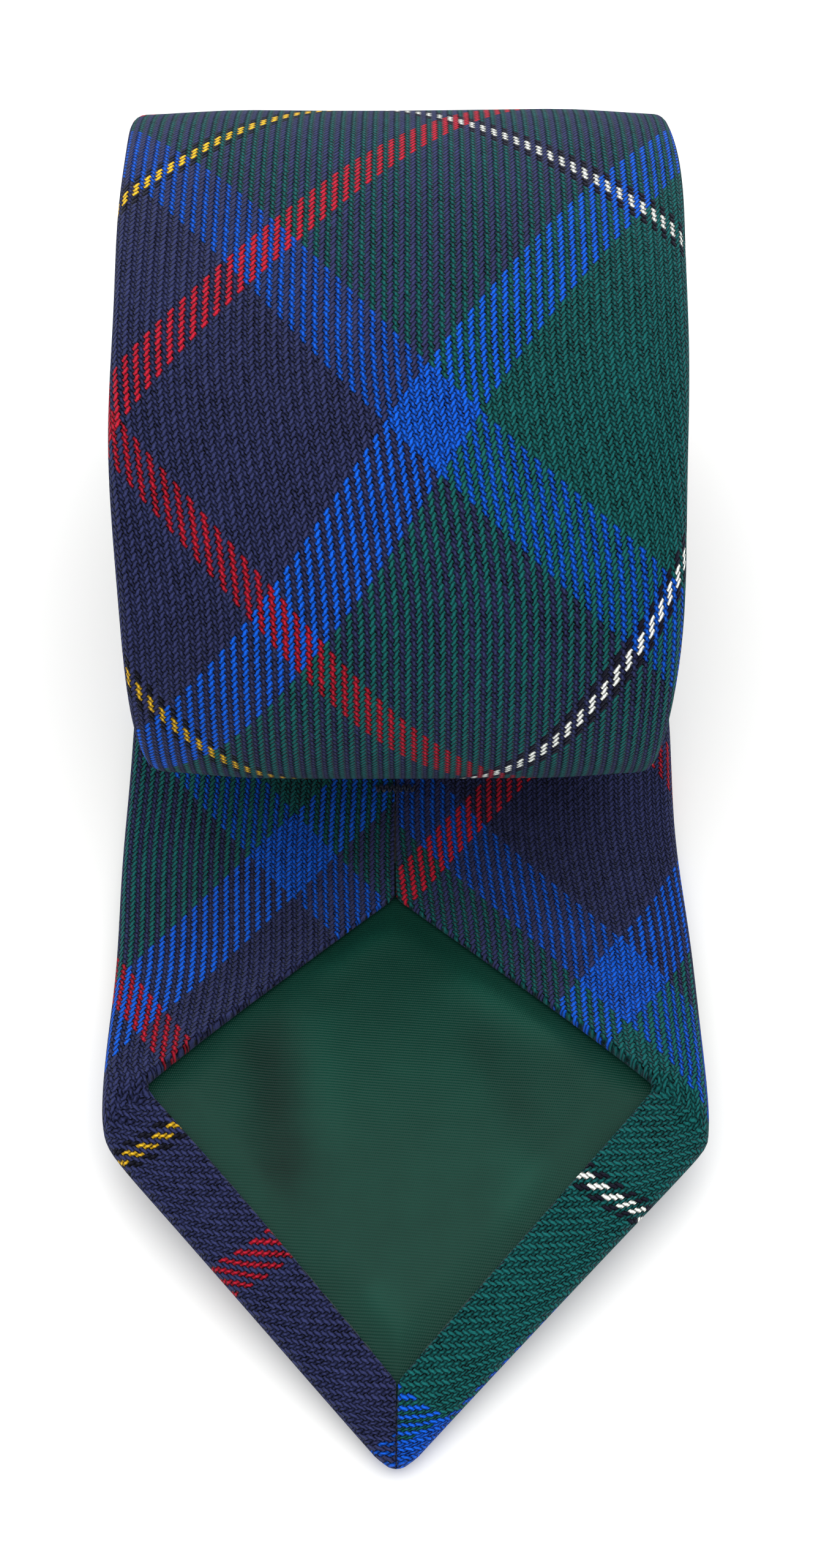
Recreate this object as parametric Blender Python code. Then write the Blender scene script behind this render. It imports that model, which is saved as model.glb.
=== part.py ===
"""A tartan wool necktie, rolled up from its narrow end and laid down, in metres, +Z up.

X runs across the tie, the wide blade's tip points to -Y and the roll stands at +Y. The origin is
where the roll's lowest turn rests on the surface. Every sub-part is a strip of cloth or thread that
follows one line, the tie's front face, from the blade's tip (distance 0) to the tail's tip. A point
of a strip is given by its distance along that line, its place across it, and its height above the
front face, towards the back of the tie.
"""

import math

import bmesh
import bpy
import numpy as np

# The whole tie
LENGTH = 1.450
WIDTHS = (  # (distance from the blade's tip, width of the folded tie)
    (0.0445, 0.0850),
    (0.300, 0.0783),
    (0.340, 0.0762),
    (0.560, 0.0520),
    (0.760, 0.0370),
    (0.950, 0.0330),
    (1.150, 0.0360),
    (1.4265, 0.0450),
)

# Layers, from the front face to the back
CLOTH = 0.00075
GAP = 0.0003
INTERLINING = 0.0008
TIPPING = 0.00025
THREAD = 0.0004
THICKNESS = 2 * CLOTH + INTERLINING + TIPPING + 3 * GAP
SEAM = THREAD + 2 * GAP

# The two pointed ends: distances from that end's tip, and half widths
BLADE = {"corner": 0.0445, "apex": 0.0857, "hem": 0.0119, "inner": (0.0525, 0.0347)}
TAIL = {"corner": 0.0235, "apex": 0.0450, "hem": 0.0080, "inner": (0.0290, 0.0168)}
TIP_HALF = 0.0026
CORNER_ROUNDING = 0.0012

# The roll: an oval spiral, and the blade end that comes out from under it
OVAL_Y = 0.05715
OVAL_Z = 0.0411
OVAL_CENTRE = (-0.00115, 0.0405)
PITCH = 0.0045
STATIONS_PER_TURN = 20
FLAT_ANGLE = 7  # degrees each side of the bottom where the roll lies flat
TIP_Y = -0.1430
ARCH_START_Y = -0.038
ARCH_TOP_Y = -0.098
ARCH_HEIGHT = 0.0071

# Where the pieces begin and end
HINGE_Y = -0.047
NECK_SEAMS = (0.720, 1.040)
INTERLINING_JOIN = 0.860
INSIDE_MARGIN = 0.0022
INTERLINING_FROM_TIP = 0.006
TIPPING_FROM_TIP = 0.008
MITRE_FROM_TIP = 0.001
MITRE_FROM_HEM = 0.002
SEAM_FROM_HEM = 0.004
BLADE_TIPPING_END = 0.093
TAIL_TIPPING_LENGTH = 0.060
BLADE_TACK = 0.106
TAIL_TACK = 0.062
TACK_SIZE = (0.0012, 0.006)
KEEPER = {"middle": 0.192, "along": 0.012, "across": 0.045}

COLOURS = {
    "tartan": (0.020, 0.055, 0.075, 1.0),
    "lining": (0.012, 0.060, 0.038, 1.0),
    "canvas": (0.62, 0.58, 0.48, 1.0),
    "thread": (0.010, 0.014, 0.030, 1.0),
}
ROUGHNESS = {"tartan": 0.92, "lining": 0.42, "canvas": 0.95, "thread": 0.70}


def clear_scene():
    for item in list(bpy.data.objects):
        bpy.data.objects.remove(item, do_unlink=True)


def arch_height(y):
    """How far the blade end's front face stands off the surface at y."""
    if y >= ARCH_START_Y:
        return 0.0
    if y >= ARCH_TOP_Y:
        part = (ARCH_START_Y - y) / (ARCH_START_Y - ARCH_TOP_Y)
        return ARCH_HEIGHT * math.sin(0.5 * math.pi * part) ** 2
    part = (ARCH_TOP_Y - y) / (ARCH_TOP_Y - TIP_Y)
    return ARCH_HEIGHT * (1.0 - part**2)


def oval_point(angle):
    """The spiral's point where the oval's normal stands at this angle, and that normal."""
    out = np.array((math.cos(angle), math.sin(angle)))
    reach = math.hypot(OVAL_Y * out[0], OVAL_Z * out[1])
    on_oval = np.array((OVAL_Y**2 * out[0], OVAL_Z**2 * out[1])) / reach
    inset = PITCH * (angle + 0.5 * math.pi) / (2.0 * math.pi)
    point = np.array(OVAL_CENTRE) + on_oval - inset * out
    layers_below = round((angle + 0.5 * math.pi) / (2.0 * math.pi))
    point[1] = max(point[1], PITCH * layers_below)
    return point


def front_line():
    """The tie's front face seen from the side: points (y, z) from the blade's tip inwards."""
    points = [np.array((y, arch_height(y))) for y in blade_end_stations()]
    steps = list(range(0, 360, 360 // STATIONS_PER_TURN))
    steps = sorted((*steps, FLAT_ANGLE, 360 - FLAT_ANGLE))
    turn = 0
    while length_of(points) < LENGTH:
        points += [oval_point(math.radians(step - 90.0 + 360.0 * turn)) for step in steps]
        turn += 1
    return np.array(points)


def blade_end_stations():
    near_tip = np.linspace(TIP_Y, ARCH_TOP_Y, 8)
    rising = np.linspace(ARCH_TOP_Y, ARCH_START_Y, 9)[1:]
    flat = np.linspace(ARCH_START_Y, OVAL_CENTRE[0], 4)[1:-1]
    return np.concatenate((near_tip, rising, flat))


def length_of(points):
    steps = np.diff(np.array(points), axis=0)
    return float(np.hypot(steps[:, 0], steps[:, 1]).sum())


class Rail:
    """The front line with its distances and normals; places between two stations lie on the chord."""

    def __init__(self, points):
        steps = np.diff(points, axis=0)
        lengths = np.hypot(steps[:, 0], steps[:, 1])
        self.points = points
        self.distances = np.concatenate(([0.0], np.cumsum(lengths)))
        along = steps / lengths[:, None]
        mean = np.vstack((along[:1], along[:-1] + along[1:], along[-1:]))
        mean /= np.linalg.norm(mean, axis=1)[:, None]
        self.normals = np.column_stack((-mean[:, 1], mean[:, 0]))

    def place(self, distance, across, height):
        """The point in space of a place on the tie."""
        y, z = (np.interp(distance, self.distances, self.points[:, i]) for i in (0, 1))
        ny, nz = (np.interp(distance, self.distances, self.normals[:, i]) for i in (0, 1))
        return (across, y + height * ny, z + height * nz)

    def between(self, start, end, extra=()):
        """The stations of a strip from start to end."""
        inside = [d for d in (*self.distances, *extra) if start + 1e-4 < d < end - 1e-4]
        return [start, *sorted(set(inside)), end]

    def distance_at_y(self, y):
        """The distance of the blade end's station at y."""
        blade = self.points[:, 0] < 0.0
        count = int(np.argmin(blade)) if not blade.all() else len(blade)
        return float(np.interp(y, self.points[:count, 0], self.distances[:count]))


RAIL = Rail(front_line())
HINGE = RAIL.distance_at_y(HINGE_Y)


def smooth_minimum(a, b):
    return 0.5 * (a + b - math.sqrt((a - b) ** 2 + CORNER_ROUNDING**2))


def half_width(distance):
    """Half the folded tie's width."""
    where, width = zip(*WIDTHS)
    body = 0.5 * float(np.interp(distance, where, width))
    blade_slope = (0.5 * width[0] - TIP_HALF) / BLADE["corner"]
    tail_slope = (0.5 * width[-1] - TIP_HALF) / TAIL["corner"]
    blade_end = TIP_HALF + blade_slope * distance
    tail_end = TIP_HALF + tail_slope * (LENGTH - distance)
    return smooth_minimum(body, min(blade_end, tail_end))


def opening(distance, end):
    """Half the gap between the turned-over edges on the back, at a distance from an end's tip."""
    where, reach = end["inner"]
    shut = 0.5 * SEAM
    return float(np.interp(distance, (end["hem"], where, end["apex"]), (shut, reach, shut)))


def back_gap(distance):
    return max(opening(distance, BLADE), opening(LENGTH - distance, TAIL))


def outline_stations():
    """Distances where the tie's outline turns."""
    found = []
    for end, measure in ((BLADE, 1), (TAIL, -1)):
        turns = (end["hem"], end["corner"], end["corner"] + 0.003, end["inner"][0], end["apex"])
        found += [t if measure > 0 else LENGTH - t for t in turns]
    return found


def fold_arc(x_centre, radius, angles):
    middle = 0.5 * THICKNESS
    return [(x_centre + radius * math.cos(a), middle + radius * math.sin(a)) for a in angles]


def shell_section(distance, skin=CLOTH, inset=0.0):
    """The folded cloth: a front panel, two folds, and two back panels that meet in the middle."""
    outer = 0.5 * THICKNESS - inset
    centre = half_width(distance) - 0.5 * THICKNESS
    upwards = [math.radians(a) for a in (-90, -30, 30, 90)]
    edge = back_gap(distance)
    flap_top = 0.5 * THICKNESS + outer
    right = fold_arc(centre, outer, upwards)
    right += [(edge, flap_top), (edge, flap_top - skin)]
    right += fold_arc(centre, outer - skin, reversed(upwards))
    left = [(-x, h) for x, h in reversed(right)]
    return right + left


def band(half, low, high):
    """A section that is a plain rectangle; half may depend on the distance."""

    def section(distance):
        reach = half(distance) if callable(half) else half
        return [(-reach, low), (reach, low), (reach, high), (-reach, high)]

    return section


def side_band(centre, half, low, high):
    """A rectangle whose middle is at centre(distance) across the tie."""

    def section(distance):
        x = centre(distance)
        return [(x - half, low), (x + half, low), (x + half, high), (x - half, high)]

    return section


def material(kind):
    found = bpy.data.materials.new(kind)
    found.use_nodes = True
    shader = found.node_tree.nodes["Principled BSDF"]
    shader.inputs["Base Color"].default_value = COLOURS[kind]
    shader.inputs["Roughness"].default_value = ROUGHNESS[kind]
    shader.inputs["Metallic"].default_value = 0.0
    found.diffuse_color = COLOURS[kind]
    return found


def loft(mesh, section, start, end):
    """Adds one closed strip with this section, from start to end along the tie."""
    rings = []
    for distance in RAIL.between(start, end, outline_stations()):
        ring = [mesh.verts.new(RAIL.place(distance, x, h)) for x, h in section(distance)]
        rings.append(ring)
    count = len(rings[0])
    for before, after in zip(rings, rings[1:]):
        for i in range(count):
            j = (i + 1) % count
            mesh.faces.new((before[i], before[j], after[j], after[i]))
    mesh.faces.new(list(reversed(rings[0])))
    mesh.faces.new(rings[-1])


def strip(name, kind, section, start, end):
    """One object: a strip of this section between two distances along the tie."""
    mesh = bmesh.new()
    loft(mesh, section, start, end)
    bmesh.ops.recalc_face_normals(mesh, faces=mesh.faces)
    data = bpy.data.meshes.new(name)
    mesh.to_mesh(data)
    mesh.free()
    data.shade_smooth()
    data.set_sharp_from_angle(angle=math.radians(40))
    data.materials.append(material(kind))
    made = bpy.data.objects.new(name, data)
    bpy.context.collection.objects.link(made)


def make_shell():
    cut = 0.5 * GAP
    seam = 0.5 * SEAM
    first, second = NECK_SEAMS
    strip("blade_shell_end", "tartan", shell_section, 0.0, HINGE - cut)
    strip("blade_shell", "tartan", shell_section, HINGE + cut, first - seam)
    strip("neck_shell", "tartan", shell_section, first + seam, second - seam)
    strip("tail_shell", "tartan", shell_section, second + seam, LENGTH)


def make_neck_seams():
    """The rows of stitching that join the three lengths of the shell."""

    def section(distance):
        return shell_section(distance, skin=CLOTH - GAP, inset=0.5 * GAP)

    for name, at in zip(("neck_seam_blade", "neck_seam_tail"), NECK_SEAMS):
        strip(name, "thread", section, at - 0.5 * THREAD, at + 0.5 * THREAD)


def inside_reach(distance):
    """How far a layer inside the folded cloth reaches to each side."""
    return half_width(distance) - INSIDE_MARGIN


def make_interlining():
    low = CLOTH + GAP
    cut = 0.5 * GAP
    seam = 0.5 * SEAM
    section = band(inside_reach, low, low + INTERLINING)
    last = LENGTH - INTERLINING_FROM_TIP
    join = INTERLINING_JOIN
    strip("interlining_end", "canvas", section, INTERLINING_FROM_TIP, HINGE - cut)
    strip("interlining_blade", "canvas", section, HINGE + cut, join - seam)
    strip("interlining_tail", "canvas", section, join + seam, last)
    strip("interlining_join", "thread", section, join - 0.5 * THREAD, join + 0.5 * THREAD)


def make_tipping():
    """The lining that shows between the turned-over edges at each end."""
    high = THICKNESS - CLOTH - GAP
    section = band(inside_reach, high - TIPPING, high)
    tail_start = LENGTH - TAIL_TIPPING_LENGTH
    strip("blade_tipping", "lining", section, TIPPING_FROM_TIP, BLADE_TIPPING_END)
    strip("tail_tipping", "lining", section, tail_start, LENGTH - TIPPING_FROM_TIP)


def make_end_stitches():
    """Each tip's mitre, and the two seams that hold the lining to the hems."""
    low = THICKNESS - 0.5 * (CLOTH + THREAD)
    high = low + THREAD

    def beside_hem(side):
        def centre(distance):
            return side * (back_gap(distance) - 0.5 * THREAD - 2 * GAP)

        return side_band(centre, 0.5 * THREAD, low, high)

    for name, end in (("blade", BLADE), ("tail", TAIL)):
        mitre = (MITRE_FROM_TIP, end["hem"] - MITRE_FROM_HEM)
        seam = (end["hem"] + SEAM_FROM_HEM, end["inner"][0] - MITRE_FROM_HEM)
        if name == "tail":
            mitre, seam = (tuple(LENGTH - d for d in reversed(span)) for span in (mitre, seam))
        strip(name + "_mitre_stitch", "thread", band(0.5 * THREAD, low, high), *mitre)
        strip(name + "_tipping_seam_left", "thread", beside_hem(-1), *seam)
        strip(name + "_tipping_seam_right", "thread", beside_hem(1), *seam)


def make_back_seam():
    """The slip stitch that closes the back, and the bar tack at each of its ends."""
    low = THICKNESS - 0.5 * (CLOTH + THREAD)
    thread = band(0.5 * THREAD, low, low + THREAD)
    tail_tack = LENGTH - TAIL_TACK
    strip("slip_stitch", "thread", thread, BLADE_TACK, tail_tack)
    along, across = TACK_SIZE
    bar = band(0.5 * across, THICKNESS + GAP, THICKNESS + GAP + THREAD)
    for name, at in (("blade_bar_tack", BLADE_TACK), ("tail_bar_tack", tail_tack)):
        strip(name, "thread", bar, at - 0.5 * along, at + 0.5 * along)


def make_keeper():
    """The loop on the back of the blade, and the tack at each of its ends."""
    low = THICKNESS + GAP
    high = low + THREAD
    half = 0.5 * KEEPER["across"]
    start = KEEPER["middle"] - 0.5 * KEEPER["along"]
    end = start + KEEPER["along"]
    tack = 0.5 * TACK_SIZE[0]
    strip("keeper_loop", "tartan", band(half, low, high), start, end)
    for name, side in (("keeper_tack_left", -1), ("keeper_tack_right", 1)):
        centre = side * (half + GAP + tack)
        strip(name, "thread", side_band(lambda d, x=centre: x, tack, low, high), start, end)


clear_scene()
make_shell()
make_neck_seams()
make_interlining()
make_tipping()
make_end_stitches()
make_back_seam()
make_keeper()
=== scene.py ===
"""The looks of a tartan wool necktie, rolled up from its narrow end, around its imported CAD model.

Metres, +Z up. X runs across the tie, the wide blade's tip points to -Y and the roll stands at +Y.
Every piece is a strip that follows one smooth line, the tie's front face, from the blade's tip
(distance 0) to the tail's tip. A place on a strip is its distance along that line, its place across
the tie, and its height above the front face, towards the back of the tie.
"""

import math

import bpy
import numpy as np
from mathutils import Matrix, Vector


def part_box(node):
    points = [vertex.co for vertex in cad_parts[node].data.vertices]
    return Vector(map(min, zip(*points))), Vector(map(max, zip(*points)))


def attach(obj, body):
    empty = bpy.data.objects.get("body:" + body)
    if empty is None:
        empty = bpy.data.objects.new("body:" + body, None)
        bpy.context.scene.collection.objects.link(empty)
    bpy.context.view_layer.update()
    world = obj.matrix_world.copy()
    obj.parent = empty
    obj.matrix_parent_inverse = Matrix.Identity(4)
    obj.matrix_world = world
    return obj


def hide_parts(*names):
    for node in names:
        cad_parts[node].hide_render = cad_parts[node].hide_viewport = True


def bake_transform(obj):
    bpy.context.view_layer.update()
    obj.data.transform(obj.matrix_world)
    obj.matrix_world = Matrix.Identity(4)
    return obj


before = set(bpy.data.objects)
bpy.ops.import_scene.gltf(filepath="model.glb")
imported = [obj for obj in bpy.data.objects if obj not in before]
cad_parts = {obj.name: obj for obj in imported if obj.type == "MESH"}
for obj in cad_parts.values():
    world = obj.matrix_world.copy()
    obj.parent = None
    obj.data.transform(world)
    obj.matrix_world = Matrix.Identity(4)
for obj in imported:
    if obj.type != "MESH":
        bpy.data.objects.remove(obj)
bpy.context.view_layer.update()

MM = 0.001

# The whole tie, as in the CAD model's source
LENGTH = 1.450
WIDTHS = (  # (distance from the blade's tip, width of the folded tie)
    (0.0445, 0.0850),
    (0.300, 0.0783),
    (0.340, 0.0762),
    (0.560, 0.0520),
    (0.760, 0.0370),
    (0.950, 0.0330),
    (1.150, 0.0360),
    (1.4265, 0.0450),
)
WIDTH_EASING = 0.020

# Layers, from the front face to the back, as in the CAD model's source
CLOTH = 0.75 * MM
GAP = 0.3 * MM
CANVAS = 0.8 * MM
LINING = 0.25 * MM
THREAD = 0.4 * MM
THICKNESS = 2 * CLOTH + CANVAS + LINING + 3 * GAP

# The two pointed ends: distances from that end's tip, and half widths. The corners of the blade's
# opening lie further out than the CAD model's, and the tip is sharper.
BLADE = {"corner": 0.0445, "apex": 0.0857, "hem": 0.0119, "inner": (0.0525, 0.0358)}
TAIL = {"corner": 0.0235, "apex": 0.0450, "hem": 0.0080, "inner": (0.0290, 0.0168)}
TIP_HALF = 0.6 * MM
# The distance at which the blade's cloth begins, and the length over which each tip rounds off
BLUNT_TIP = 0.9 * MM
NOSE = 1.6 * MM
# The right side is 1 and the left side is -1
CORNER_ROUNDING = {1: 1.2 * MM, -1: 2.4 * MM}
BLADE_SLOPE = (0.5 * WIDTHS[0][1] - TIP_HALF) / BLADE["corner"]
TAIL_SLOPE = (0.5 * WIDTHS[-1][1] - TIP_HALF) / TAIL["corner"]

# The roll, an oval spiral, and the arch of the blade end that comes out from under it. The spiral
# starts under the roll, and its angles are in degrees.
OVAL_Y = 0.05715
OVAL_Z = 0.0411
OVAL_CENTRE = (-0.00115, 0.0405)
PITCH = 4.5 * MM
TIP_SETBACK = 0.6 * MM
TIP_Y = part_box("blade_shell_end")[0].y + TIP_SETBACK
ARCH_START_Y = -0.038
ARCH_TOP_Y = -0.098
ARCH_HEIGHT = 7.1 * MM
ARCH_POINTS = 300
SPIRAL_START, SPIRAL_END = -90.0, 2200.0

# The line: the spacing of its points, how far its bends are eased, and how far it runs on past
# the tail's tip
LINE_STEP = 0.5 * MM
LINE_EASING = 4 * MM
LINE_SPARE = 0.02

# Where the seams that join the shell's lengths and the interlining's lengths lie
NECK_SEAMS = (0.720, 1.040)
CANVAS_JOIN = 0.860

# The sett: threads of each colour from the white line's middle to the yellow line's middle
SETT = (
    ("white", 1.5),
    ("black", 2),
    ("green", 58),
    ("blue", 17),
    ("navy", 44),
    ("red", 9),
    ("navy", 30),
    ("black", 2),
    ("yellow", 1.5),
)
HALF_SETT = sum(count for _, count in SETT)
THREAD_PITCH = 0.6 * MM
# The direction across one set of threads, of length 1: the cloth is cut on the bias
THREADS_ACROSS = 0.7735
THREADS_ALONG = 0.634
# The thread numbers of one white line of each thread system
WHITE_AT = (78, -71)

# How the cloth is skewed, bowed and shifted where it is rolled, and where that begins and how long
# it takes to reach its full size
ROLL_SHEAR = 0.10
ROLL_SLIP = 3.4 * MM
ROLL_BOW = 35 * MM
BOW_LIMIT = 1.3
ROLL_DRIFT = 4.0 * MM
SKEW_START, SKEW_LENGTH = 0.120, 0.170
DRIFT_START, DRIFT_LENGTH = 0.305, 0.045

# Colours, as linear red, green and blue
LINING_GREEN = (0.0045, 0.040, 0.027)
CANVAS_CREAM = (0.55, 0.50, 0.40)
NAVY_THREAD = (0.006, 0.011, 0.036)
GREEN_THREAD = (0.006, 0.035, 0.024)
WOOL = {
    "white": (0.66, 0.68, 0.64),
    "black": (0.006, 0.006, 0.012),
    "green": (0.005, 0.072, 0.070),
    "blue": (0.004, 0.068, 0.430),
    "navy": (0.020, 0.024, 0.075),
    "red": (0.320, 0.008, 0.022),
    "yellow": (0.560, 0.330, 0.015),
}


def smooth_step(value):
    value = np.clip(value, 0.0, 1.0)
    return value * value * (3.0 - 2.0 * value)


def smooth_minimum(a, b, rounding):
    return 0.5 * (a + b - np.sqrt((a - b) ** 2 + rounding**2))


def smooth_maximum(a, b, rounding):
    return 0.5 * (a + b + np.sqrt((a - b) ** 2 + rounding**2))


# ---------------------------------------------------------------- the line the tie follows


def arch_height(y):
    """How far the blade end's front face stands off the surface at y."""
    rising = np.clip((ARCH_START_Y - y) / (ARCH_START_Y - ARCH_TOP_Y), 0.0, 1.0)
    falling = np.clip((ARCH_TOP_Y - y) / (ARCH_TOP_Y - TIP_Y), 0.0, 1.0)
    return ARCH_HEIGHT * (np.sin(0.5 * np.pi * rising) ** 2 - falling**2)


def spiral(angle):
    """The spiral's points where the oval's normal stands at these angles."""
    out = np.column_stack((np.cos(angle), np.sin(angle)))
    axes = np.array((OVAL_Y, OVAL_Z))
    reach = np.linalg.norm(axes * out, axis=1)[:, None]
    turns = (angle + 0.5 * np.pi) / (2.0 * np.pi)
    points = np.array(OVAL_CENTRE) + axes**2 * out / reach - PITCH * turns[:, None] * out
    points[:, 1] = np.maximum(points[:, 1], PITCH * np.round(turns))
    return points


def distances(points):
    steps = np.linalg.norm(np.diff(points, axis=0), axis=1)
    return np.concatenate(([0.0], np.cumsum(steps)))


class Line:
    """The tie's front face seen from the side, with its distances and its normals."""

    def __init__(self):
        y = np.linspace(TIP_Y, OVAL_CENTRE[0], ARCH_POINTS)
        turned = np.radians(np.arange(SPIRAL_START, SPIRAL_END, 1.0))
        rough = np.vstack((np.column_stack((y, arch_height(y)))[:-1], spiral(turned)))
        along = distances(rough)
        even = np.arange(0.0, LENGTH + LINE_SPARE, LINE_STEP)
        rough = np.column_stack([np.interp(even, along, rough[:, i]) for i in (0, 1)])
        reach = int(LINE_EASING / LINE_STEP)
        weights = np.hanning(2 * reach + 3)[1:-1]
        weights /= weights.sum()
        first = 2 * rough[0] - rough[reach:0:-1]
        last = 2 * rough[-1] - rough[-2 : -reach - 2 : -1]
        padded = np.vstack((first, rough, last))
        self.points = np.column_stack(
            [np.convolve(padded[:, i], weights, mode="valid") for i in (0, 1)]
        )
        self.distance = distances(self.points)
        tangent = np.gradient(self.points, self.distance, axis=0)
        tangent /= np.linalg.norm(tangent, axis=1)[:, None]
        self.normal = np.column_stack((-tangent[:, 1], tangent[:, 0]))

    def place(self, distance, across, height):
        """The points in space of places on the tie, as arrays of one shape."""
        y, z = (np.interp(distance, self.distance, self.points[:, i]) for i in (0, 1))
        ny, nz = (np.interp(distance, self.distance, self.normal[:, i]) for i in (0, 1))
        lifted = height + sag(distance, across)
        shifted = across + sway(distance)
        return np.stack((shifted, y + lifted * ny, z + lifted * nz), axis=-1)


SWAY = ((0.0, -0.6 * MM), (0.045, 0.8 * MM), (0.090, 0.0), (0.140, 0.0))  # (distance, shift)
SWAY_EASING = 0.012
SAG_START, SAG_LENGTH = 0.165, 0.06
EDGE_SAG = 0.9 * MM
# The share of the half width where the droop begins, and the share that it takes
RIM_START, RIM_SHARE = 0.55, 0.5
# Low waves on the roll's surface: height, distance for each radian along the tie, radians for each
# metre across it, and phase
SURFACE_WAVES = ((0.10 * MM, 0.0171, 60.0, 0.6), (0.08 * MM, 0.0093, -95.0, 0.0))
# Low waves on the tie's edges: height, distance for each radian, and phase on the right side
EDGE_WAVES = ((0.18 * MM, 0.0113, 2.0), (0.12 * MM, 0.0061, 1.0))


def sway(distance):
    """How far the tie's middle wanders to the side."""
    where, shift = zip(*SWAY)
    nearby = np.linspace(-SWAY_EASING, SWAY_EASING, 7)
    return np.mean([np.interp(distance + s, where, shift) for s in nearby], axis=0)


def sag(distance, across):
    """How far the roll's surface lies inside its ideal spiral.

    Its edges droop, and it is not quite even.
    """
    on_roll = smooth_step((distance - SAG_START) / SAG_LENGTH)
    rim = smooth_step((np.abs(across) / body_half_width(distance) - RIM_START) / RIM_SHARE)
    uneven = sum(
        height * np.sin(distance / radian + slant * across + phase)
        for height, radian, slant, phase in SURFACE_WAVES
    )
    return on_roll * (EDGE_SAG * rim + uneven)


# ---------------------------------------------------------------- the folded tie's outline


def body_half_width(distance):
    """Half the width of the folded tie, its pointed ends left out."""
    where, width = zip(*WIDTHS)
    nearby = np.linspace(-WIDTH_EASING, WIDTH_EASING, 9)
    return 0.5 * np.mean([np.interp(distance + s, where, width) for s in nearby], axis=0)


def half_width(distance, side):
    """Half the folded tie's width on one side, with the unevenness of a soft fold."""
    uneven = sum(
        height * np.sin(distance / radian + phase * side) for height, radian, phase in EDGE_WAVES
    )
    body = body_half_width(distance) + uneven
    blade_end = TIP_HALF + BLADE_SLOPE * distance
    tail_end = TIP_HALF + TAIL_SLOPE * (LENGTH - distance)
    return smooth_minimum(body, np.minimum(blade_end, tail_end), CORNER_ROUNDING[side])


# Half the gap where the turned-over edges meet, and the rounding of the opening's corners
SHUT = 0.08 * MM
OPENING_ROUNDING = 0.8 * MM
SHUT_ROUNDING = 0.2 * MM
# (distance, shift)
SEAM_SHIFT = ((0.0, 0.0), (0.060, -0.8 * MM), (0.086, -1.0 * MM), (0.150, -0.8 * MM), (0.3, 0.0))


def opening(distance, end):
    """Half the gap between the turned-over edges, at a distance from an end's tip."""
    where, reach = end["inner"]
    growing = reach * (distance - end["hem"]) / (where - end["hem"])
    closing = reach * (end["apex"] - distance) / (end["apex"] - where)
    open_half = smooth_minimum(growing, closing, OPENING_ROUNDING)
    return smooth_maximum(open_half, SHUT, SHUT_ROUNDING)


def seam_shift(distance):
    """How far the seam on the back wanders from the tie's middle."""
    where, shift = zip(*SEAM_SHIFT)
    return np.interp(distance, where, shift)


def flap_edge(distance, side):
    """How far from the middle the turned-over cloth ends on one side."""
    gap = np.maximum(opening(distance, BLADE), opening(LENGTH - distance, TAIL))
    return gap + side * seam_shift(distance)


def crease(across, from_tip, end):
    """How far a place on the back lies on the hem's side of the crease between flap and hem."""
    where, reach = end["inner"]
    corner = TIP_HALF + (BLADE_SLOPE if end is BLADE else TAIL_SLOPE) * end["corner"]
    slope = (where - end["corner"]) / (corner - reach)
    line = where - slope * (across - reach)
    return np.minimum((line - from_tip) / math.hypot(1.0, slope), where - from_tip)


# ---------------------------------------------------------------- the section of folded cloth

# Columns of one side of the section: the front, the outer fold, the flap's back, its edge (as turns
# in degrees), and the same surfaces on the inside
FRONT_COLUMNS = 9
FOLD_COLUMNS = 11
FLAP_COLUMNS = 13
LIP_TURNS = (30.0, 60.0, 90.0, 120.0, 150.0)
INNER_FLAP_COLUMNS = 6
INNER_FOLD_COLUMNS = 7
INNER_FRONT_COLUMNS = 5
OUTER_COLUMNS = FRONT_COLUMNS + FOLD_COLUMNS + FLAP_COLUMNS

# The outer fold: how far its arc reaches in, how wide the cloth beside the arc is that eases with
# it, the cloth that it takes up on each side, and the least width between it and the flap's edge
FOLD_REACH = 1.9 * MM
FOLD_EASING = 3.0 * MM
FOLD_TAKE_UP = {1: 5.0 * MM, -1: 2.6 * MM}
LEAST_PANEL = 0.6 * MM

# The back's relief: soft edges on the ends, the blade's flaps that stand up where they lie on the
# hem, and the crease between flap and hem
EDGE_ROUND = 0.7 * MM
EDGE_LIFT = 0.7 * MM
EDGE_LIFT_WIDTH = 2.6 * MM
LIFT_LAST, LIFT_FADING = 0.085, 0.02
BODY_LIFT = 0.1 * MM
CORNER_LIFT = 1.9 * MM
CORNER_LAST, CORNER_FADING = 0.050, 0.024
CREASE_WIDTH = 0.8 * MM
CREASE_DEPTH = 0.6 * MM
CREASE_INNER = 30 * MM
CREASE_OUTWARD = 4 * MM
CREASE_LAST = 0.056


def back_relief(across, edge, distance):
    """How far the back's cloth stands up: at a flap's soft edge, and where a flap lies on a hem."""
    near_end = np.minimum(distance, LENGTH - distance)
    on_ends = 1.0 - smooth_step((near_end - LIFT_LAST) / LIFT_FADING)
    edge_lift = EDGE_LIFT * np.exp(-np.maximum(across - edge, 0.0) / EDGE_LIFT_WIDTH)
    on_hem = crease(across, distance, BLADE)
    over = smooth_step(0.5 - on_hem / (2 * CREASE_WIDTH))
    fading = 1.0 - smooth_step((distance - CORNER_LAST) / CORNER_FADING)
    corner = CORNER_LIFT * over * fading
    valley = CREASE_DEPTH * np.exp(-((on_hem / CREASE_WIDTH) ** 2))
    valley = valley * (distance < CREASE_LAST)
    valley = valley * smooth_step((across - CREASE_INNER) / CREASE_OUTWARD)
    return on_ends * (edge_lift + corner - valley) + (1.0 - on_ends) * BODY_LIFT


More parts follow.
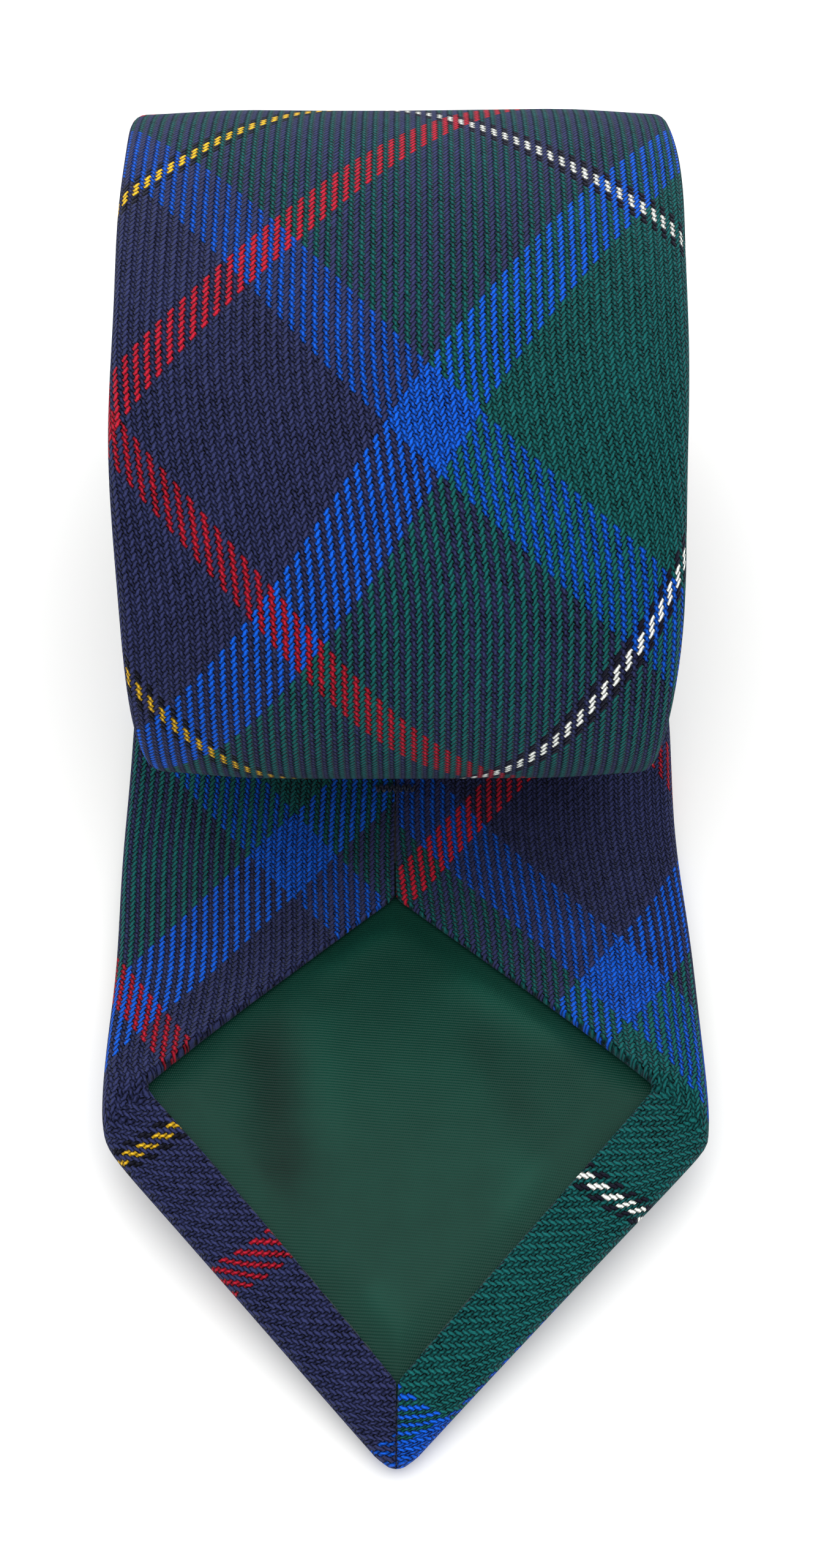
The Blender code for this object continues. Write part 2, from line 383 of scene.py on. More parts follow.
def half_section(distance, side, skin, inset):
    """One side of the folded cloth, from the middle of the front round to the flap's edge and back.

    Gives across, height, flat (how far out the place would be if the fold were sharp), back (1 on
    the back, else 0), and the cloth that the soft fold has taken up before it. Each has one row for
    each distance.
    """
    distance = distance[:, None]
    half = half_width(distance, side) - inset
    edge = np.minimum(flap_edge(distance, side) + inset, half - LEAST_PANEL)
    reach = np.minimum(FOLD_REACH, 0.7 * (half - edge))
    centre = half - reach
    margin = np.minimum(FOLD_EASING, 0.45 * (centre - edge))
    start = centre - margin
    middle = 0.5 * THICKNESS
    outer = middle - inset
    take_up = FOLD_TAKE_UP[side] * margin / FOLD_EASING
    columns = []

    def add(across, height, flat, back, taken=0.0):
        place = (across, height, flat, back, taken)
        columns.append([np.broadcast_to(v, distance.shape) for v in place])

    def top(across):
        return middle + outer + back_relief(across, edge, distance)

    def round_fold(depth, steps, order):
        """The fold's arc at this depth inside the cloth's face."""
        bulk = 0.5 * back_relief(centre, edge, distance)
        half_arc = np.pi * 0.25 * (reach + outer)
        for turn in np.linspace(-90.0, 90.0, steps)[::order]:
            angle = math.radians(turn)
            height = middle + bulk + (outer + bulk - depth) * math.sin(angle)
            share = (margin + half_arc * (1.0 - abs(turn) / 90.0)) / (margin + half_arc)
            flat = start + (half - start) * share
            taken = 0.5 * take_up * (share if turn <= 0 else 2.0 - share)
            add(centre + (reach - depth) * math.cos(angle), height, flat, float(turn > 0), taken)

    for share in np.linspace(0.0, 1.0, FRONT_COLUMNS):
        add(share * start, middle - outer, share * start, 0.0)
    round_fold(0.0, FOLD_COLUMNS, 1)
    for share in np.linspace(0.0, 1.0, FLAP_COLUMNS):
        across = start + (edge + EDGE_ROUND - start) * share
        add(across, top(across), across, 1.0, take_up)
    lip = edge + EDGE_ROUND
    high, low = top(lip), middle + outer - skin
    for turn in LIP_TURNS:
        angle = math.radians(turn)
        height = 0.5 * (high + low) + 0.5 * (high - low) * math.cos(angle)
        across = lip - EDGE_ROUND * math.sin(angle)
        add(across, height, across, 1.0, take_up)
    for share in np.linspace(0.0, 1.0, INNER_FLAP_COLUMNS):
        across = lip + (start - lip) * share
        add(across, low, across, 1.0, take_up)
    round_fold(skin, INNER_FOLD_COLUMNS, -1)
    for share in np.linspace(1.0, 0.0, INNER_FRONT_COLUMNS)[:-1]:
        add(share * start, middle - outer + skin, share * start, 0.0)
    return [np.hstack([column[i] for column in columns]) for i in range(5)]


def folded_section(distance, skin=CLOTH, inset=0.0):
    """The whole section: the right side, then the left side the other way round."""
    right = half_section(distance, 1, skin, inset)
    left = half_section(distance, -1, skin, inset)
    across = np.hstack((right[0], -left[0][:, :0:-1]))
    others = [np.hstack((r, l[:, :0:-1])) for r, l in zip(right[1:], left[1:])]
    side = np.where(np.arange(across.shape[1]) < right[0].shape[1], 1.0, -1.0)
    return (across, *others, np.broadcast_to(side, across.shape))


# ---------------------------------------------------------------- the tartan on the flat cloth


def thread_counts(across, distance):
    """The two thread numbers at a place on the cloth, which is a bit skewed where it is rolled."""
    on_roll = smooth_step((distance - SKEW_START) / SKEW_LENGTH)
    bow = 1.0 - np.minimum(np.abs(across) / ROLL_BOW, BOW_LIMIT) ** 2
    along = distance + on_roll * (ROLL_SHEAR * across - ROLL_SLIP * bow)
    across = across - ROLL_DRIFT * smooth_step((distance - DRIFT_START) / DRIFT_LENGTH)
    warp = (THREADS_ACROSS * across + THREADS_ALONG * along) / THREAD_PITCH
    weft = (-THREADS_ACROSS * across + THREADS_ALONG * along) / THREAD_PITCH
    return warp, weft


def unfold_hem(flat, from_tip, slope):
    """A place on the hem, turned back over the end's slanting edge."""
    out = flat - TIP_HALF
    along = (out * slope + from_tip) / (slope**2 + 1.0)
    return TIP_HALF + 2 * along * slope - out, 2 * along - from_tip


def cloth_attributes(distance, flat, back, taken, side):
    """Thread numbers on the flap and on the hem, and how far each place is on the hem."""
    distance = distance[:, None] + 0.0 * flat
    half = np.where(side > 0, half_width(distance, 1), half_width(distance, -1))
    turned = np.where(back > 0, 2 * half - flat, flat) + taken
    flap = thread_counts(side * turned, distance)
    blade_end = distance < 0.5 * LENGTH
    from_tip = np.where(blade_end, distance, LENGTH - distance)
    slope = np.where(blade_end, BLADE_SLOPE, TAIL_SLOPE)
    hem_out, hem_along = unfold_hem(flat, from_tip, slope)
    hem_out = np.where(back > 0, hem_out, flat) + taken / np.hypot(slope, 1.0)
    hem_along = np.where(back > 0, hem_along, from_tip) - taken * slope / np.hypot(slope, 1.0)
    hem_along = np.where(blade_end, hem_along, LENGTH - hem_along)
    hem = thread_counts(side * hem_out, hem_along)
    on_hem = np.where(blade_end, crease(flat, from_tip, BLADE), crease(flat, from_tip, TAIL))
    return np.stack((*flap, on_hem / MM), axis=-1), np.stack((*hem, 0.0 * flat), axis=-1)


# ---------------------------------------------------------------- meshes

SHARP_DEGREES = 50
NOSE_TURNS = (20, 40, 60, 75, 86)


def rings_between(start, end, steps):
    """Distances of a strip's rings; steps gives (up to this distance, spacing)."""
    found = [start]
    for limit, spacing in steps:
        stop = min(limit, end)
        if stop > found[-1]:
            count = max(1, int(round((stop - found[-1]) / spacing)))
            found += list(np.linspace(found[-1], stop, count + 1)[1:])
    return np.array(found)


def mesh_from_rings(name, points, material, attributes):
    """A closed strip from a grid of points: one row for each ring, with a cap at each end."""
    rows, columns = points.shape[:2]
    index = np.arange(rows * columns).reshape(rows, columns)
    beside = np.roll(index, -1, axis=1)
    quads = np.stack((index[:-1], index[1:], beside[1:], beside[:-1]), axis=-1).reshape(-1, 4)
    faces = quads.tolist() + [index[0].tolist(), index[-1, ::-1].tolist()]
    data = bpy.data.meshes.new(name)
    data.from_pydata(points.reshape(-1, 3).tolist(), [], faces)
    for key, values in attributes.items():
        layer = data.attributes.new(key, "FLOAT_VECTOR", "POINT")
        layer.data.foreach_set("vector", values.reshape(-1).astype(np.float32))
    data.shade_smooth()
    data.set_sharp_from_angle(angle=math.radians(SHARP_DEGREES))
    data.materials.append(material)
    made = bpy.data.objects.new(name, data)
    bpy.context.scene.collection.objects.link(made)
    return made


def with_noses(distance, start_nose, end_nose):
    """Extra ring distances and scales that round off a strip's ends."""
    scale = np.ones(len(distance))
    turns = np.radians(NOSE_TURNS)
    if start_nose:
        first = distance[0]
        nose = first + NOSE * (1 - np.sin(turns[::-1]))
        keep = distance > first + NOSE
        distance = np.concatenate((nose, [first + NOSE], distance[keep]))
        scale = np.concatenate((np.cos(turns[::-1]), [1.0], scale[keep]))
    if end_nose:
        last = distance[-1]
        nose = last - NOSE * (1 - np.sin(turns))
        keep = distance < last - NOSE
        distance = np.concatenate((distance[keep], [last - NOSE], nose))
        scale = np.concatenate((scale[keep], [1.0], np.cos(turns)))
    return distance, scale


def cloth_piece(name, start, end, steps, material, start_nose=False, end_nose=False):
    """A length of the shell: cloth folded to the middle of the back."""
    distance = rings_between(start, end, steps)
    distance, scale = with_noses(distance, start_nose, end_nose)
    shaped = np.clip(distance, NOSE, LENGTH - NOSE) if start_nose or end_nose else distance
    across, height, flat, back, taken, side = folded_section(shaped)
    middle = 0.5 * THICKNESS
    across = across * scale[:, None]
    height = middle + (height - middle) * scale[:, None]
    flap, hem = cloth_attributes(distance, flat * scale[:, None], back, taken, side)
    points = LINE.place(distance[:, None] + 0.0 * across, across, height)
    return mesh_from_rings(name, points, material, {"flap": flap, "hem": hem})


LINE = Line()


# ---------------------------------------------------------------- materials


class Wire:
    """A number in a node tree; arithmetic on it adds Math nodes."""

    def __init__(self, graph, socket):
        self.graph = graph
        self.socket = socket

    def _with(self, operation, *others):
        return self.graph.math(operation, self, *others)

    def __add__(self, other):
        return self._with("ADD", other)

    def __sub__(self, other):
        return self._with("SUBTRACT", other)

    def __rsub__(self, other):
        return self.graph.math("SUBTRACT", other, self)

    def __mul__(self, other):
        return self._with("MULTIPLY", other)

    def __gt__(self, other):
        return self._with("GREATER_THAN", other)

    def floor(self):
        return self._with("FLOOR")

    def wrap(self, low, high):
        return self._with("WRAP", high, low)

    def absolute(self):
        return self._with("ABSOLUTE")

    def cosine(self):
        return self._with("COSINE")

    def minimum(self, other):
        return self._with("MINIMUM", other)


class Graph:
    """A material's node tree, with the few nodes that these cloths need."""

    def __init__(self, name, **values):
        self.material = bpy.data.materials.new(name)
        self.material.use_nodes = True
        self.tree = self.material.node_tree
        self.shader = self.tree.nodes["Principled BSDF"]
        for key, value in values.items():
            self.shader.inputs[key.replace("_", " ")].default_value = value

    def node(self, kind, inputs=(), **settings):
        made = self.tree.nodes.new(kind)
        for key, value in settings.items():
            setattr(made, key, value)
        for key, value in dict(inputs).items():
            self.join(value, made.inputs[key])
        return made

    def join(self, value, socket):
        if isinstance(value, Wire):
            value = value.socket
        if isinstance(value, bpy.types.NodeSocket):
            self.tree.links.new(value, socket)
        else:
            socket.default_value = value

    def math(self, operation, *values):
        made = self.node("ShaderNodeMath", enumerate(values), operation=operation)
        return Wire(self, made.outputs[0])

    def mix(self, factor, a, b, blend="MIX"):
        """A mix of two colours, by the Mix node's colour sockets."""
        made = self.node("ShaderNodeMix", data_type="RGBA", blend_type=blend)
        for index, value in ((0, factor), (6, a), (7, b)):
            self.join(value, made.inputs[index])
        return made.outputs[2]

    def mix_number(self, factor, a, b):
        """A mix of two numbers, of which either may be plain."""
        return factor * (b - a) + a

    def shaded(self, colour, tone):
        """A colour, made darker or lighter by a number."""
        shade = self.node("ShaderNodeCombineColor", {0: tone, 1: tone, 2: tone}).outputs[0]
        return self.mix(1.0, colour, shade, "MULTIPLY")

    def wave(self, count):
        """A cosine with one period for each whole number."""
        return (count * (2.0 * math.pi)).cosine()

    def attribute(self, name):
        """The three numbers of a named vector attribute."""
        vector = self.node("ShaderNodeAttribute", attribute_name=name).outputs["Vector"]
        parts = self.node("ShaderNodeSeparateXYZ", {0: vector}).outputs
        return [Wire(self, part) for part in parts]

    def point(self, x, y):
        return self.node("ShaderNodeCombineXYZ", {0: x, 1: y}).outputs[0]

    def noise(self, scale, detail=2.0, roughness=0.5):
        vector = self.node("ShaderNodeTexCoord").outputs["Object"]
        inputs = {"Vector": vector, "Scale": scale, "Detail": detail, "Roughness": roughness}
        return Wire(self, self.node("ShaderNodeTexNoise", inputs).outputs[0])

    def white_noise(self, key, value, **settings):
        made = self.node("ShaderNodeTexWhiteNoise", {key: value}, **settings)
        return Wire(self, made.outputs[0])

    def stepped_ramp(self, factor, stops):
        """The colour of the last stop, as (place, colour), that the factor has reached."""
        made = self.node("ShaderNodeValToRGB", {0: factor})
        made.color_ramp.interpolation = "CONSTANT"
        points = made.color_ramp.elements
        while len(points) > 1:
            points.remove(points[-1])
        for place, colour in stops:
            point = points[0] if place <= 0.0 else points.new(place)
            point.position = max(place, 0.0)
            point.color = (*colour, 1.0)
        return made.outputs[0]

    def finish(self, colour, relief, depth, strength):
        """Give the shader its colour and its bump, and hand the material over."""
        self.join(colour, self.shader.inputs["Base Color"])
        inputs = {"Height": relief, "Distance": depth, "Strength": strength}
        self.join(self.node("ShaderNodeBump", inputs).outputs[0], self.shader.inputs["Normal"])
        return self.material


def sett_colour(graph, thread, white_at):
    """The colour of a thread, from its number."""
    from_white = (thread - white_at).wrap(-HALF_SETT, HALF_SETT).absolute()
    stops, place = [], 0
    for name, count in SETT:
        stops.append((place / HALF_SETT, WOOL[name]))
        place += count
    return graph.stepped_ramp(from_white * (1.0 / HALF_SETT), stops)


# The tartan's weave: how far the warp leads the weft, how steeply a rib falls to its grooves (which
# sets both the bump and the painted shade in the grooves), how light each of the two is, and how
# far a thread wanders, in threads
LEAN = 0.10
RIB_STEEPNESS = 1.2
WEFT_TONE, WARP_TONE = 0.79, 0.86
THREAD_WANDER = 0.4

# The other cloths' weaves and the thread's twist, in millimetres as the "strip" attribute is
LINING_RIB = 0.42
LINING_GRAIN = 0.30
CANVAS_PITCH = 0.55
TWISTS_PER_MM = 1.6


def wool_material():
    """Wool tartan in a 2/2 twill with a soft nap; painted shade darkens its grooves."""
    graph = Graph("tartan_wool", Roughness=0.88, Sheen_Weight=0.11, Sheen_Roughness=0.30)
    graph.shader.inputs["Sheen Tint"].default_value = (0.62, 0.70, 0.95, 1.0)
    graph.shader.inputs["Specular IOR Level"].default_value = 0.05
    flap, hem = graph.attribute("flap"), graph.attribute("hem")
    on_hem = flap[2] > 0.0
    wander = (graph.noise(900.0, 1.0) - 0.5) * THREAD_WANDER
    a, b = (graph.mix_number(on_hem, flap[i], hem[i]) + wander for i in (0, 1))
    ia, ib = a.floor(), b.floor()
    quarter = 0.5 * math.pi
    rise_a = ((ia - b).wrap(-2.0, 2.0) * quarter).cosine()
    rise_b = ((a - ib - 3.0).wrap(-2.0, 2.0) * quarter).cosine()

    def crown(count, whole):
        """How round a thread is: 1 along its middle, 0 at its edges."""
        off = (count - whole) * 2.0 - 1.0
        return 1.0 - off * off

    crown_a, crown_b = crown(a, ia), crown(b, ib)
    lead = rise_a * 0.5 + crown_a * 0.5 + LEAN - (rise_b * 0.5 + crown_b * 0.5)
    on_top = lead > 0.0
    rib = (lead.absolute() * RIB_STEEPNESS).minimum(1.0)
    height = rib * rib * (graph.mix_number(on_top, crown_b, crown_a) * 0.75 + 0.25)
    weft, warp = sett_colour(graph, ib, WHITE_AT[1]), sett_colour(graph, ia, WHITE_AT[0])
    number = graph.mix_number(on_top, ib + 0.37, ia)
    spun = graph.white_noise("W", number, noise_dimensions="1D")
    plump = graph.white_noise("Vector", graph.point(ia, ib))
    fibres = graph.noise(4200.0, 2.0, roughness=0.7)
    worn = graph.noise(60.0, 2.0)
    # Painted shade: the colour darkens with the weave's height, deepest in the grooves between
    # threads and ribs
    tone = height * 1.75 + (fibres - 0.5) * 1.5 + (plump - 0.5) * 0.4
    tone = tone + (worn - 0.5) * 0.35 + (spun - 0.5) * 0.25 + 0.14
    tone = tone * graph.mix_number(on_top, WEFT_TONE, WARP_TONE)
    colour = graph.shaded(graph.mix(on_top, weft, warp), tone)
    return graph.finish(colour, height + (fibres - 0.5) * 0.6, 0.30 * MM, 1.0)


def lining_material():
    """Satin lining: fine ribs across the tie, with a soft gloss; painted light and shade on its
    folds.
    """
    graph = Graph("lining_satin", Roughness=0.34)
    graph.shader.inputs["Specular IOR Level"].default_value = 0.11
    across, along, folds = graph.attribute("strip")
    slub = graph.noise(220.0, 2.0)
    rib = graph.wave((along + across * 0.08 + slub * 0.15) * (1.0 / LINING_RIB))
    grain = graph.wave((across - along * 0.35) * (1.0 / LINING_GRAIN))
    cloudy = graph.noise(38.0, 2.0)
    tone = rib * 0.10 + grain * 0.05 + (cloudy - 0.5) * 0.5 + (slub - 0.5) * 0.25 + 0.88
    # Painted light and shade: the colour lightens on the folds' ridges and darkens in their hollows
    colour = graph.shaded((*LINING_GREEN, 1.0), tone + folds * 0.75)
    return graph.finish(colour, rib + grain * 0.6, 0.03 * MM, 0.7)


def canvas_material():
    """Undyed interlining canvas, in a coarse plain weave."""
    graph = Graph("canvas", Roughness=0.95, Sheen_Weight=0.1)
    across, along, _ = graph.attribute("strip")
    weave = graph.wave(across * (0.5 / CANVAS_PITCH)) * graph.wave(along * (0.5 / CANVAS_PITCH))
    fuzz = graph.noise(1500.0, 3.0)
    colour = graph.shaded((*CANVAS_CREAM, 1.0), weave * 0.14 + (fuzz - 0.5) * 0.5 + 0.85)
    return graph.finish(colour, weave + fuzz, 0.08 * MM, 0.8)


def thread_material(name, colour):
    """Sewing thread, with the slant of its twist."""
    graph = Graph(name, Roughness=0.62, Sheen_Weight=0.03)
    round_it, along, _ = graph.attribute("strip")
    twist = graph.wave(round_it + along * TWISTS_PER_MM)
    fuzz = graph.noise(3000.0, 2.0)
    colour = graph.shaded((*colour, 1.0), twist * 0.22 + (fuzz - 0.5) * 0.5 + 0.85)
    return graph.finish(colour, twist, 0.05 * MM, 0.8)


def plain_material(name, colour, roughness):
    return Graph(name, Base_Color=(*colour, 1.0), Roughness=roughness).material


WOOL_CLOTH = wool_material()
SATIN = lining_material()
CANVAS_CLOTH = canvas_material()
THREAD_NAVY = thread_material("thread_navy", NAVY_THREAD)
THREAD_GREEN = thread_material("thread_green", GREEN_THREAD)

# (up to this distance, the spacing of the rings)
RING_STEPS = ((0.100, 1.0 * MM), (0.440, 2.0 * MM), (LENGTH, 3.0 * MM))
FINE_STEPS = ((LENGTH, 1.0 * MM),)

SEAM = THREAD + 2 * GAP
INSIDE_MARGIN = 2.2 * MM
EDGE_BULGE = 0.4

# The radius of each kind of thread, how thin its ends are, and the spacing of its points
SEAM_THREAD = 0.45 * THREAD
SLIP_THREAD = 0.40 * THREAD
LINING_THREAD = 0.35 * THREAD
THREAD_END = 0.55
STITCH_SPACING = 0.35 * MM


def inside_reach(distance, side):
    """How far a layer inside the folded cloth reaches to one side."""
    return half_width(distance, side) - INSIDE_MARGIN


def flat_strip(distance, reach, low, high, columns=24, relief=None):
    """A layer with soft edges: reach(distance, side) is how far it goes to each side.

    Gives its points, and its "strip" attribute: across, distance and the height of its folds.
    """
    distance = distance[:, None]
    share = np.sin(np.linspace(-0.5, 0.5, columns + 1) * np.pi)
    left, right = -reach(distance, -1), reach(distance, 1)
    across = 0.5 * (left + right) + 0.5 * (right - left) * share
    lift, folds = relief(across, distance) if relief else (0.0 * across, 0.0 * across)
    under, over = low + lift, high + lift
    middle = 0.5 * (under[:, (0, -1)] + over[:, (0, -1)])
    bulge = EDGE_BULGE * (high - low)
    across = np.hstack(
        (across, across[:, -1:] + bulge, across[:, ::-1], across[:, :1] - bulge)
    )
    height = np.hstack((under, middle[:, 1:], over[:, ::-1], middle[:, :1]))
    points = LINE.place(distance + 0.0 * across, across, height)
    ends = 0.0 * middle[:, 1:]
    folds = np.hstack((folds, ends, folds[:, ::-1], ends))
    strip = np.stack((across, distance + 0.0 * across, folds), axis=-1) / MM
    return points, strip


def layer(name, distance, reach, low, high, material, **options):
    points, strip = flat_strip(distance, reach, low, high, **options)
    return mesh_from_rings(name, points, material, {"strip": strip})


def stitches(name, path, radius, material, sides=8):
    """A thread through places on the tie: path has rows of across, distance and height.

    Its "strip" attribute says how far round the thread a place is, and how far along it.
    """
    path = np.array(path)
    along = np.gradient(path, axis=0)
    along /= np.linalg.norm(along, axis=1)[:, None]
    up = np.array((0.0, 0.0, 1.0)) - along * along[:, 2:]
    up /= np.linalg.norm(up, axis=1)[:, None]
    beside = np.cross(along, up)
    angle = np.linspace(0.0, 2 * np.pi, sides, endpoint=False)[None, :, None]
    full = np.ones(len(path))
    full[[0, -1]] = THREAD_END
    ring = radius * full[:, None, None]
    around = np.cos(angle) * beside[:, None] + np.sin(angle) * up[:, None]
    places = path[:, None] + ring * around
    points = LINE.place(places[..., 1], places[..., 0], places[..., 2])
    run = distances(path)
    round_it = np.broadcast_to(angle[..., 0] / (2 * np.pi), points.shape[:2])
    strip = np.stack((round_it, run[:, None] / MM + 0.0 * round_it, 0.0 * round_it), axis=-1)
    return mesh_from_rings(name, points, material, {"strip": strip})


# ---------------------------------------------------------------- the folded wool cloth

# The two sides of each seam
SHELL_CUTS = (NECK_SEAMS[0] - 0.5 * SEAM, NECK_SEAMS[0] + 0.5 * SEAM)
TAIL_CUTS = (NECK_SEAMS[1] - 0.5 * SEAM, NECK_SEAMS[1] + 0.5 * SEAM)


def cut_sizes(start, end):
    """The flat cut of a length of the shell: its width, its length and its area."""
    distance = np.linspace(start, end, 2000)
    widths = 0.0 * distance
    for side in (1, -1):
        widths = widths + 2 * half_width(distance, side) - flap_edge(distance, side)
    area = float(widths.mean() * (end - start))
    return (float(widths.max()), end - start), area


def shell():
    blade = cloth_piece(
        "blade_cloth", BLUNT_TIP, SHELL_CUTS[0], RING_STEPS, WOOL_CLOTH, start_nose=True
    )
    neck = cloth_piece("neck_cloth", SHELL_CUTS[1], TAIL_CUTS[0], RING_STEPS, WOOL_CLOTH)
    tail = cloth_piece("tail_cloth", TAIL_CUTS[1], LENGTH, RING_STEPS, WOOL_CLOTH, end_nose=True)
    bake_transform(blade)
    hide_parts("blade_shell_end", "blade_shell")
    for piece, node in ((neck, "neck_shell"), (tail, "tail_shell")):
        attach(piece, "roll")
        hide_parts(node)
    ends = ((0.0, SHELL_CUTS[0]), (SHELL_CUTS[1], TAIL_CUTS[0]), (TAIL_CUTS[1], LENGTH))
    for piece, (start, end) in zip((blade, neck, tail), ends):
        flat, area = cut_sizes(start, end)


def finish_piece(piece, body, slot, *nodes):
    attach(piece, body)
    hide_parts(*nodes)


NECK_STITCH = 2.4 * MM
NECK_SWING = 0.12 * MM
SEAM_END = 0.4 * MM


def neck_seams():
    """The stitching that joins the shell's three lengths, all round the folded cloth."""
    for name, node, at in zip(
        ("neck_stitch_blade", "neck_stitch_tail"), ("neck_seam_blade", "neck_seam_tail"), NECK_SEAMS
    ):
        sides = [half_section(np.array([at]), side, CLOTH, 0.5 * CLOTH) for side in (1, -1)]
        right, left = (np.column_stack((s[0][0], s[1][0]))[:OUTER_COLUMNS] for s in sides)
        left[:, 0] *= -1
        outline = np.vstack((left[:0:-1], right))
        run = distances(outline)
        even = np.arange(SEAM_END, run[-1] - SEAM_END, STITCH_SPACING)
        across, height = (np.interp(even, run, outline[:, i]) for i in (0, 1))
        wave = 2 * np.pi * even / NECK_STITCH
        path = np.column_stack((across, at + NECK_SWING * np.sin(wave), height))
        piece = stitches(name, path, SEAM_THREAD, THREAD_NAVY)
        finish_piece(piece, "roll", "thread", node)


# ---------------------------------------------------------------- the layers inside

CANVAS_LOW = CLOTH + GAP
LINING_LOW = THICKNESS - CLOTH - GAP - LINING
CANVAS_FROM_TIP = 6 * MM
CANVAS_STITCH = 2.2 * MM
CANVAS_SWING = 0.10 * MM
LINING_FROM_TIP = 8 * MM
BLADE_LINING_END = 0.093
TAIL_LINING_LENGTH = 0.060


def interlining():
    seam = 0.5 * SEAM
    high = CANVAS_LOW + CANVAS
    blade_run = rings_between(CANVAS_FROM_TIP, CANVAS_JOIN - seam, RING_STEPS)
    tail_run = rings_between(CANVAS_JOIN + seam, LENGTH - CANVAS_FROM_TIP, RING_STEPS)
    blade = layer("blade_canvas", blade_run, inside_reach, CANVAS_LOW, high, CANVAS_CLOTH)
    tail = layer("tail_canvas", tail_run, inside_reach, CANVAS_LOW, high, CANVAS_CLOTH, columns=12)
    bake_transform(blade)
    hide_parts("interlining_end", "interlining_blade")
    finish_piece(tail, "roll", "interlining", "interlining_tail")
    for piece, run, on in ((blade, blade_run, "blade_cloth"), (tail, tail_run, "tail_cloth")):
        width = inside_reach(run, 1) + inside_reach(run, -1)
        area = float(np.sum(0.5 * (width[1:] + width[:-1]) * np.diff(run)))
    reach = float(inside_reach(np.array(CANVAS_JOIN), 1))
    across = np.arange(-reach, reach, STITCH_SPACING)
    waving = CANVAS_JOIN + CANVAS_SWING * np.sin(2 * np.pi * across / CANVAS_STITCH)
    height = CANVAS_LOW + 0.5 * CANVAS + 0.0 * across
    path = np.column_stack((across, waving, height))
    join = stitches("canvas_join_stitch", path, SEAM_THREAD, THREAD_NAVY)
    finish_piece(join, "roll", "thread", "interlining_join")


# Soft folds in the blade's lining: each runs from one place (across, distance) to another and has a
# width, all in millimetres, and a height that WRINKLE_HEIGHT scales
WRINKLES = (
    ((-21, 70), (-15, 28), 4.5, -0.30),
    ((-14, 70), (-9, 40), 3.5, 0.16),
    ((4, 73), (26, 58), 3.0, 0.26),
    ((8, 66), (20, 40), 3.5, -0.14),
    ((-16, 70), (0, 82), 2.6, 0.24),
    ((-6, 26), (3, 16), 3.0, 0.16),
    ((12, 30), (20, 44), 2.6, 0.15),
)
WRINKLE_HEIGHT = 2.0
# The share of a fold's length over which it fades at each end
FOLD_FADING = 0.35
# How far the lining stands up in the opening's middle, and how far from its edges that begins
PUFF = 0.8 * MM
PUFF_EASING = 7.0 * MM


def lining_relief(across, distance):
    """How the blade's lining stands up between the hems, and how much of that is its folds."""
    side = np.where(across < seam_shift(distance), -1.0, 1.0)
    edge = opening(distance, BLADE) + side * seam_shift(distance)
    inside = smooth_step((edge - np.abs(across)) / PUFF_EASING)
    folds = 0.0 * inside
    for (x0, d0), (x1, d1), width, high in WRINKLES:
        run = np.array((x1 - x0, d1 - d0), float)
        long = float(np.hypot(*run))
        run /= long
        dx, dd = across / MM - x0, distance / MM - d0
        along = dx * run[0] + dd * run[1]
        off = dx * run[1] - dd * run[0]
        ease = FOLD_FADING * long
        fade = smooth_step(along / ease) * smooth_step((long - along) / ease)
        ridge = WRINKLE_HEIGHT * high * MM * np.exp(-((off / width) ** 2))
        folds = folds + inside * fade * ridge
    return PUFF * inside + folds, folds


def lining():
    high = LINING_LOW + LINING
    blade_run = rings_between(LINING_FROM_TIP, BLADE_LINING_END, FINE_STEPS)
    tail_run = rings_between(LENGTH - TAIL_LINING_LENGTH, LENGTH - LINING_FROM_TIP, FINE_STEPS)
    blade = layer(
        "blade_lining", blade_run, inside_reach, LINING_LOW, high, SATIN,
        columns=80, relief=lining_relief,
    )
    tail = layer("tail_lining", tail_run, inside_reach, LINING_LOW, high, SATIN)
    finish_piece(blade, "blade_end", "tipping", "blade_tipping")
    finish_piece(tail, "roll", "tipping", "tail_tipping")
    for piece, run, on in ((blade, blade_run, "blade_canvas"), (tail, tail_run, "tail_canvas")):
        width = inside_reach(run, 1) + inside_reach(run, -1)
        flat = (float(width.max()), float(run[-1] - run[0]))
        area = float(width.mean() * flat[1])


# ---------------------------------------------------------------- the sewing

# The thread that crosses the seam on the back, and its bow in each stitch
STITCH_HEIGHT = THICKNESS - 0.5 * CLOTH
STITCH_BOW = 0.06 * MM

# Each kind of stitch: its length, how far it swings to each side, and the spacing of its points
MITRE = (2.4 * MM, 0.12 * MM, 0.3 * MM)
SLIP = (6.0 * MM, 0.16 * MM, 1.0 * MM)

# Where the seams at the ends start and stop, from the tip, the hem and the opening's corner
MITRE_FROM_TIP = 1.4 * MM
MITRE_FROM_HEM = 2 * MM
LINING_SEAM_FROM_HEM = 4 * MM
LINING_SEAM_FROM_CORNER = 2 * MM

# The lining's seam: its stitch, how far it dips, how far it lies from the edge and over the lining,
# and the spacing of its points
LINING_STITCH = 3.2 * MM
LINING_DIP = 0.18 * MM
LINING_INSET = 0.1 * MM
LINING_OVER = 0.02 * MM
LINING_SEAM_SPACING = 0.3 * MM

# How far the bar tacks lie from the tips, and a tack's width and length
BLADE_TACK = 0.106
TAIL_TACK = 0.062
TACK = (1.2 * MM, 6.0 * MM)
KEEPER = {"middle": 0.192, "along": 0.012, "across": 0.045}
KEEPER_LOW = THICKNESS + GAP
KEEPER_TACK_WIDTH = TACK[0] - 0.3 * MM
TACK_SPACING = 0.42 * MM
TACK_HEIGHT = KEEPER_LOW + 0.15 * MM
TACK_BOW = 0.06 * MM


def ladder(start, end, stitch, reach, spacing):
    """A thread that crosses the seam on the back once in each stitch."""
    distance = np.arange(start, end, spacing)
    wave = 2 * np.pi * (distance - start) / stitch
    across = seam_shift(distance) + reach * np.sin(wave)
    return np.column_stack((across, distance, STITCH_HEIGHT + STITCH_BOW * np.cos(2 * wave)))


